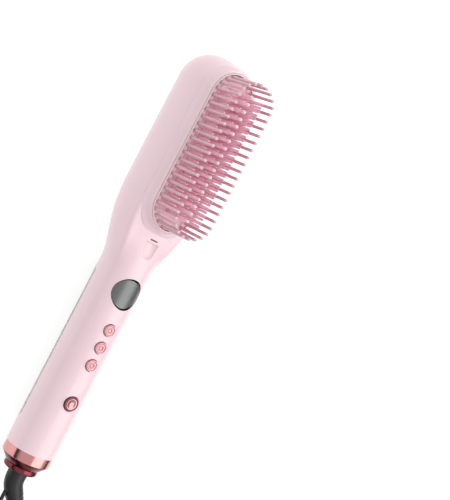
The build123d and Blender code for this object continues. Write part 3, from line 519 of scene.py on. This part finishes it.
longFeet = toothRow(blade["count"], pitch, blade["rowY"])
fineFeet = toothRow(blade["fineCount"], pitch / 2, -blade["rowY"])
longTooth = tooth(blade["foot"], blade["tip"])
fineTooth = tooth(blade["fineFoot"], blade["fineTip"])
addPiece("heatedTeeth", [copied(longTooth, longFeet), copied(fineTooth, fineFeet)], "ceramicCoating",
         "root", hides=["heating_teeth"])
capTop = bristleH - blade["height"]
lifted = np.array([0.0, 0.0, blade["height"]])
longDome = domed(blade["capR"], capTop, blade["capStretch"])
fineDome = domed(blade["fineCapR"], capTop - blade["fineCapDrop"], blade["capStretch"])
tipCap = turnedZ(blade["capFoot"] + longDome, steps=16)
fineCap = turnedZ(blade["fineCapFoot"] + fineDome, steps=10)
addPiece("toothTips", [copied(tipCap, longFeet + lifted)], "siliconeTip", "root",
         hides=["tooth_caps"], sharp=60)
addPiece("fineTips", [copied(fineCap, fineFeet + lifted)], "pinkSilicone", "root",
         hides=["tooth_caps"], sharp=60)
print("comb dressed:", len(outerPlaces), "bristles,", len(longFeet) + len(fineFeet), "heated teeth")


# buttons, ion outlet, display window and the turned end

controls = {
    "flangeZ": 30.3,
    "buttonR": 4.0, "buttonProud": 1.15,
    "faceRim": [(0.0, -1.1), (-0.25, 0.0), (-0.95, 0.0), (-1.2, -0.45)],  # from its edge and its top
    "faceRing": [(1.9, -0.5), (1.75, -0.15), (1.2, -0.15), (1.0, -0.6), (0.0, -0.65)],  # from its middle
    "faceCorner": 0.22,
    "powerR": 3.75, "powerProud": 0.75, "powerEdge": [(0.0, -0.25), (-0.1, -0.05)],
    "bowlDepth": 0.95, "bowlRim": 0.5,
    "bezelR": 4.95, "bezelProud": 0.6, "bezelGap": 0.15, "bezelLip": 0.1, "bezelFootZ": 29.8,
    "bezelCorner": 0.3,
    "ionLow": (22.42, -2.95, 29.6), "ionHigh": (23.26, 2.95, 31.6),
    "lensR": 10.45, "lensDome": 0.25, "lensDepth": 1.0, "lensSink": 0.02,
    "crescentR": 9.45, "crescentAside": 0.95, "crescentLift": (0.03, 0.05), "crescentSink": -0.4,
    "bandProfile": [(-130.7, 14.6), (-130.7, 16.3), (-137.5, 16.3), (-137.5, 14.6)],
    "coneProfile": [(-137.5, 9.1), (-137.5, 16.2), (-142.2, 11.9), (-142.2, 9.1)],
    "collarProfile": [(-142.5, 7.1), (-142.5, 11.0), (-144.8, 11.5), (-146.1, 11.1), (-146.1, 7.1)],
    "bandCorner": 0.4, "coneCorner": 0.3, "collarCorner": 0.4,
}


def barrelTop(y):  # the handle's height above the floor: its axis and its circle in y
    return axisZ + np.sqrt(handleR ** 2 - y ** 2)


def dishButton(x):
    # (radius, z) points turned: a tapered side, a rounded rim, a shallow dish, and a ring round a dimple
    radius = controls["buttonR"]
    top = axisZ + handleR + controls["buttonProud"]
    face = [(radius, controls["flangeZ"])]
    face += [(radius + outwards, top + up) for outwards, up in controls["faceRim"]]
    face += [(r, top + up) for r, up in controls["faceRing"]]
    return turnedZ(rounded(face, controls["faceCorner"], steps=3), x)


def shallowBowl(x):
    # (radius, z) points turned: a rounded rim, and a bowl that rises with the square of the radius
    radius = controls["powerR"]
    top = axisZ + handleR + controls["powerProud"]
    inner = radius - controls["bowlRim"]
    depth = controls["bowlDepth"]
    edge = [(radius, controls["flangeZ"])]
    edge += [(radius + outwards, top + up) for outwards, up in controls["powerEdge"]]
    return turnedZ(edge + [(r, top - depth + depth * (r / inner) ** 2) for r in np.linspace(inner, 0, 7)], x)


def powerRing():  # (radius, z) points turned: a band round the power button, its top sloped a little outwards
    inner = controls["powerR"] + controls["bezelGap"]
    top = axisZ + handleR + controls["bezelProud"]
    band = [
        (inner, controls["bezelFootZ"]), (inner, top + controls["bezelLip"]),
        (controls["bezelR"], top), (controls["bezelR"], controls["bezelFootZ"])]
    return turnedZ(rounded(band, controls["bezelCorner"]), brush["powerX"])


def barOf(low, high):  # a plain bar between two corners, as a grid of rings along X
    (x0, y0, z0), (x1, y1, z1) = low, high
    ring = [(y0, z0), (y1, z0), (y1, z1), (y0, z1)]
    middle = [(np.mean((y0, y1)), np.mean((z0, z1)))] * 4
    rows = [(x0, middle), (x0, ring), (x1, ring), (x1, middle)]
    return sheetOf(np.array([[(x, y, z) for y, z in points] for x, points in rows]), loopCols=True)


def reflectionCrescent(x, steps=72):
    # black crescent round the window, a painted dark reflection: a thin ring between two circles, the inner
    # one smaller and moved aside in y, at the barrel's height plus a lift on top and less a sink below
    turn = around(steps)
    outer, inner = (controls["lensR"], 0.0), (controls["crescentR"], controls["crescentAside"])
    outerLift, innerLift = controls["crescentLift"]
    sink = controls["crescentSink"]
    rings = []
    for (radius, aside), lift in ((outer, outerLift), (inner, innerLift), (inner, sink), (outer, sink)):
        dx, dy = radius * np.cos(turn), radius * np.sin(turn) + aside
        rings.append(np.stack([x + dx, dy, barrelTop(dy) + lift], -1))
    return sheetOf(np.array(rings), loopRows=True, loopCols=True)


def barrelDisc(x, rings=14, steps=72):
    # round window bent to the barrel: its height is the barrel's circle in y plus a dome that falls with the
    # square of the distance from the middle
    share = np.sin(np.linspace(0, np.pi / 2, rings))
    turn = around(steps)
    dx = np.outer(share, np.cos(turn)) * controls["lensR"]
    dy = np.outer(share, np.sin(turn)) * controls["lensR"]
    barrel = barrelTop(dy)
    dome = controls["lensDome"] * (1 - share[:, None] ** 2) - controls["lensSink"]
    under = np.full_like(barrel[:1], barrel.min() - controls["lensDepth"])
    grid = [
        np.stack([x + dx, dy, barrel + dome], -1),
        np.stack([x + dx[-1:], dy[-1:], barrel[-1:] - controls["lensDepth"]], -1),
        np.stack([x + dx[:1], dy[:1], under], -1)]
    return sheetOf(np.concatenate(grid), loopCols=True)


buttonFaces = [
    ("steamFace", "steam_button", "steam"),
    ("heatdownFace", "heat_down_button", "heat_down"),
    ("heatupFace", "heat_up_button", "heat_up")]
for (name, nodeName, bodyName), x in zip(buttonFaces, brush["buttonXs"]):
    addPiece(name, [dishButton(x)], "platedPlastic", bodyName, hides=[nodeName], sharp=50)
addPiece("powerFace", [shallowBowl(brush["powerX"])], "platedPlastic", "power",
         hides=["power_button"], sharp=50)
# the ring's darker plating is a painted shade round the power button
addPiece("powerRing", [powerRing()], "bezelShadeRose", "root", hides=["power_bezel"], sharp=60)
ionBar = barOf(controls["ionLow"], controls["ionHigh"])
# a dark bar in the ion outlet's slot: painted shade for the slot's depth
addPiece("ionSlotShade", [ionBar], "gapShadeMaroon", "root", sharp=30)
# the black crescent round the window is a painted dark reflection
addPiece("displayReflectionCrescent", [reflectionCrescent(brush["displayX"])], "darkReflectionBlack", "root", sharp=50)
addPiece("displayWindow", [barrelDisc(brush["displayX"])], "mirrorAcrylic", "root",
         hides=["display_lens"], sharp=50)
bandPoints = roundedLoop(controls["bandProfile"], controls["bandCorner"])
conePoints = roundedLoop(controls["coneProfile"], controls["coneCorner"])
collarPoints = roundedLoop(controls["collarProfile"], controls["collarCorner"])
addPiece("capBand", [turnedX(bandPoints)], "turnedRoseGold", "root", hides=["end_cap"], sharp=35)
# the cone's deep red is a painted shade on the same rose plating
addPiece("capCone", [turnedX(conePoints)], "coneShadeMaroon", "root", hides=["end_cap"], sharp=35)
# the collar's darker plating is a painted shade
addPiece("swivelCollar", [turnedX(collarPoints)], "turnedRose", "swivel",
         hides=["swivel_collar"], sharp=35)
print("controls and end cap made")


# water tank's edge, and the spring under its release button

tank = {
    "bayX0": -123.0, "bayX1": 0.49, "planR": 17.38, "bayR": 17.6, "topZ": 12.6,
    "beadR": 0.22, "sink": 0.2,  # the bead's middle lies this far under the barrel's surface
}


def tankEdgePath():
    # where the tank's outline, a slot with round ends in plan, meets the barrel: x is the end's circle in y,
    # and z is the barrel's circle in y
    barrelR = handleR - tank["sink"]
    sideY = math.sqrt(barrelR ** 2 - (axisZ - tank["topZ"]) ** 2)
    y = sideY * np.cos(np.linspace(0, np.pi, 48))
    reach = np.sqrt(tank["planR"] ** 2 - y ** 2)
    z = axisZ - np.sqrt(barrelR ** 2 - y ** 2)
    farEnd = np.stack([tank["bayX1"] - tank["bayR"] + reach, y, z], -1)
    nearEnd = np.stack([tank["bayX0"] + tank["bayR"] - reach, -y, z], -1)
    return np.concatenate([farEnd, nearEnd])


def beadAlong(path, radius, steps=10):
    # a round bead along a closed path on the barrel: each ring is a circle square to the path, spanned by the
    # cross product of the path's direction and the barrel's outward line, and by the direction square to both
    ahead = np.roll(path, -1, 0) - np.roll(path, 1, 0)
    ahead /= np.linalg.norm(ahead, axis=1, keepdims=True)
    side = np.cross(ahead, path * (0, 1, 1) - (0, 0, axisZ))
    side /= np.linalg.norm(side, axis=1, keepdims=True)
    square = np.cross(side, ahead)
    turn = around(steps)[None, :, None]
    grid = path[:, None] + radius * (np.cos(turn) * side[:, None] + np.sin(turn) * square[:, None])
    return sheetOf(grid, loopRows=True, loopCols=True)


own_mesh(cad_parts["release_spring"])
# a dark bead along the tank's outline: painted shade for the gap between the tank and the housing
addPiece("tankEdge", [beadAlong(tankEdgePath(), tank["beadR"])], "gapShadeMaroon", "tank", sharp=60)
print("tank edge made")


# cord boot

boot = {
    "start": (-145.5, 0.0), "straight": 9.97, "turnDeg": 35.5, "bendR": 14.0, "length": 50.0, "overrun": 6.0,
    "radii": [(0.0, 6.7), (0.25, 6.1), (0.5, 5.5), (1.0, 3.9)],  # radius at each share of the length
    "ribFrom": 0.36, "ribTo": 0.97, "ribCount": 12, "ribDepth": 0.28,
}


def bootGrid(rings=150, steps=40):
    # a straight run, a circular arc, then straight again in the level plane; each ring stands square to it,
    # and its radius runs through the taper's points, less a raised cosine where the ribs are
    arc = math.radians(boot["turnDeg"])
    reach = boot["bendR"] * math.tan(arc / 2)
    first = boot["straight"] - reach
    last = boot["length"] - boot["straight"] - reach + boot["overrun"]
    along = np.linspace(0, 1, rings) * (first + boot["bendR"] * arc + last)
    bend = np.clip((along - first) / (boot["bendR"] * arc), 0, 1) * arc
    step = np.diff(along, prepend=0.0)
    middle = (bend + np.concatenate([[0.0], bend[:-1]])) / 2
    x = boot["start"][0] - np.cumsum(step * np.cos(middle))
    y = boot["start"][1] - np.cumsum(step * np.sin(middle))
    share = along / along[-1]
    within = (share - boot["ribFrom"]) / (boot["ribTo"] - boot["ribFrom"])
    wave = 0.5 - 0.5 * np.cos(2 * np.pi * boot["ribCount"] * within)
    ribs = np.where((within > 0) & (within < 1), wave, 0.0)
    radius = np.interp(share, *zip(*boot["radii"])) - boot["ribDepth"] * ribs
    turn = around(steps)
    across, up = np.outer(radius, np.cos(turn)), np.outer(radius, np.sin(turn))
    gridX = x[:, None] + across * np.sin(bend)[:, None]
    gridY = y[:, None] - across * np.cos(bend)[:, None]
    grid = np.stack([gridX, gridY, axisZ + up], -1)
    ends = [np.repeat(grid[k].mean(0)[None, None], steps, 1) for k in (0, -1)]
    return np.concatenate([ends[0], grid, ends[1]])


addPiece("cordBoot", [sheetOf(bootGrid(), loopCols=True)], "softPvc", "swivel",
         hides=["cord_boot"], sharp=60)
print("boot made")


# mains cord and its put-away coil

lead = {
    "diameter": 5.6, "bootEnd": (-184.81, -20.91, 16.8),
    "route": [
        (-184.81, -20.91, 16.8), (-197.84, -30.20, 16.8), (-220.63, -46.46, 3.1), (-235.71, -51.80, 3.2)],
    "coilCentre": (-238.20, -11.08), "outerR": 40.8, "step": 5.6, "floorZ": 3.6, "topZ": 9.2,
    "startDeg": -86.5, "turns": 7.51, "perTurn": 16, "layerTurns": 4,
    "moveIn": (0.75, 1.0), "rise": (0.61, 0.85), "moveOut": (0.50, 0.71),  # shares of a turn
    "tail": [(-226.20, 29.72, 9.2), (-214.20, 24.02, 7.1), (-202.20, 24.02, 7.0)],
}


def eased(part, window):  # goes from 0 to 1 while the part is within the window
    return smooth((part - window[0]) / (window[1] - window[0]))


def coilPoints():
    # four turns wind inwards on the floor, the lead climbs, and the rest wind outwards on top: the radius is
    # the outer one less a step for each turn, and moves over in a short part of the turn
    t = np.arange(0, lead["turns"], 1 / lead["perTurn"])
    whole, part = np.floor(t), t - np.floor(t)
    inwards = np.minimum(whole + eased(part, lead["moveIn"]), lead["layerTurns"] - 1)
    outwards = np.maximum(whole - lead["layerTurns"] + eased(part, lead["moveOut"]), 0)
    radius = lead["outerR"] - lead["step"] * (inwards - outwards)
    climb = eased(t - (lead["layerTurns"] - 1), lead["rise"])
    turn = np.radians(lead["startDeg"]) - 2 * np.pi * t
    x, y = lead["coilCentre"]
    z = lead["floorZ"] + (lead["topZ"] - lead["floorZ"]) * climb
    return np.stack([x + radius * np.cos(turn), y + radius * np.sin(turn), z], -1)


def leadCurve(name, points, diameter, material):  # one smooth open spline with a round section
    curve = bpy.data.curves.new(name, "CURVE")
    curve.dimensions = "3D"
    curve.resolution_u = 6
    curve.bevel_depth = diameter / 2 * mm
    curve.bevel_resolution = 5
    curve.use_fill_caps = True
    spline = curve.splines.new("NURBS")
    spline.points.add(len(points) - 1)
    spline.points.foreach_set("co", np.concatenate([points * mm, np.ones((len(points), 1))], 1).ravel())
    spline.order_u = 3
    spline.use_endpoint_u = True
    curve.materials.append(material)
    piece = bpy.data.objects.new(name, curve)
    scene.collection.objects.link(piece)
    return piece


leadPoints = np.concatenate([np.array(lead["route"]), coilPoints(), np.array(lead["tail"])])
mainsLead = leadCurve("mainsLead", leadPoints, lead["diameter"], materials["softPvc"])
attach(mainsLead, "swivel")
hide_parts("cord", "cord_coil", "cord_tail")
print("mains lead laid:", len(leadPoints), "points")


# floor, light and camera

studio = {
    "target": (38.3, -40.0, 49.8), "toCamera": (0.0, 0.6587, 0.7524), "distance": 645.0, "frameHeight": 320.0,
    "rightX": 0.4617, "rightT": 0.887, "sensor": 36.0,
    "floorColor": "#8A8A8A", "floorRough": 0.9, "floorReach": 6.0,
    "glowColor": "#FFFFFF", "floorGlow": 0.88,  # a back-lit acrylic table
    "darkTo": 0.14, "brightFrom": 0.5,  # the room is dark near the horizon and bright overhead
    "darkLevel": 0.02, "skyLevel": 0.74,
    "aheadFrom": 0.1, "aheadTo": 0.8, "aheadLevel": 0.9,  # and bright beyond the head's tip
    "keyPlace": (0.05, -0.7, 1.45), "keyTarget": (0.0, 0.0, 0.02), "keySize": (2.2, 1.5), "keyPower": 15.0,
}


def viewAxes():  # unit vectors of the picture: to the camera, right and up
    back = np.array(studio["toCamera"]) / np.linalg.norm(studio["toCamera"])
    across = np.array([0.0, -back[2], back[1]])
    right = studio["rightX"] * np.array([1.0, 0, 0]) + studio["rightT"] * across
    right /= np.linalg.norm(right)
    return back, right, np.cross(back, right)


def setCamera():  # the lens is the sensor's height times the distance, over the height seen at that distance
    back, right, up = viewAxes()
    spot = (np.array(studio["target"]) + back * studio["distance"]) * mm
    camera = bpy.data.objects.new("camera", bpy.data.cameras.new("camera"))
    camera.data.sensor_fit = "VERTICAL"
    camera.data.sensor_height = studio["sensor"]
    camera.data.lens = studio["sensor"] * studio["distance"] / studio["frameHeight"]
    camera.data.clip_start = 0.01
    camera.matrix_world = Matrix.Translation(Vector(spot)) @ Matrix([right, up, back]).transposed().to_4x4()
    scene.collection.objects.link(camera)
    scene.camera = camera


def addKeyLight():  # a soft box that faces its target
    light = bpy.data.objects.new("softKey", bpy.data.lights.new("softKey", "AREA"))
    light.data.shape = "RECTANGLE"
    light.data.size, light.data.size_y = studio["keySize"]
    light.data.energy = studio["keyPower"]
    spot = Vector(studio["keyPlace"])
    facing = (Vector(studio["keyTarget"]) - spot).to_track_quat("-Z", "Y").to_matrix().to_4x4()
    light.matrix_world = Matrix.Translation(spot) @ facing
    scene.collection.objects.link(light)


def addFloor():  # a square sheet of backLitAcrylic, whose even glow takes the hardness out of the shadows
    reach = studio["floorReach"]
    corners = [(-reach, -reach, 0), (reach, -reach, 0), (reach, reach, 0), (-reach, reach, 0)]
    mesh = bpy.data.meshes.new("floor")
    mesh.from_pydata(corners, [], [(0, 1, 2, 3)])
    material, tree, shader = newMaterial("backLitAcrylic")
    shader.inputs["Base Color"].default_value = linear(studio["floorColor"])
    shader.inputs["Roughness"].default_value = studio["floorRough"]
    shader.inputs["Emission Color"].default_value = linear(studio["glowColor"])
    shader.inputs["Emission Strength"].default_value = studio["floorGlow"]
    mesh.materials.append(material)
    floor = bpy.data.objects.new("floor", mesh)
    scene.collection.objects.link(floor)


def setRoom():  # light from all round: dark at the horizon, bright overhead and ahead, white to the camera
    scene.world = bpy.data.worlds.new("studioWorld")
    scene.world.use_nodes = True
    sky = scene.world.node_tree
    place = addNode(sky, "ShaderNodeTexCoord").outputs["Generated"]
    facing = addNode(sky, "ShaderNodeSeparateXYZ", {"Vector": place})
    height = addNode(sky, "ShaderNodeMapRange", {
        "Value": facing.outputs["Z"], "From Min": studio["darkTo"], "From Max": studio["brightFrom"],
        "To Min": studio["darkLevel"], "To Max": studio["skyLevel"]}, interpolation_type="SMOOTHSTEP")
    ahead = addNode(sky, "ShaderNodeMapRange", {
        "Value": facing.outputs["X"], "From Min": studio["aheadFrom"], "From Max": studio["aheadTo"],
        "To Min": 0.0, "To Max": studio["aheadLevel"]}, interpolation_type="SMOOTHSTEP")
    brighter = addNode(sky, "ShaderNodeMath", {
        0: height.outputs[0], 1: ahead.outputs[0]}, operation="MAXIMUM")
    direct = addNode(sky, "ShaderNodeLightPath").outputs["Is Camera Ray"]
    level = addNode(sky, "ShaderNodeMix", {0: direct, 2: brighter.outputs[0], 3: 1.0})
    sky.links.new(level.outputs[0], sky.nodes["Background"].inputs["Strength"])
    sky.nodes["Background"].inputs["Color"].default_value = linear("#FFFFFF")


addFloor()
setCamera()
addKeyLight()
setRoom()
scene.view_settings.view_transform = "Standard"
print("studio set")
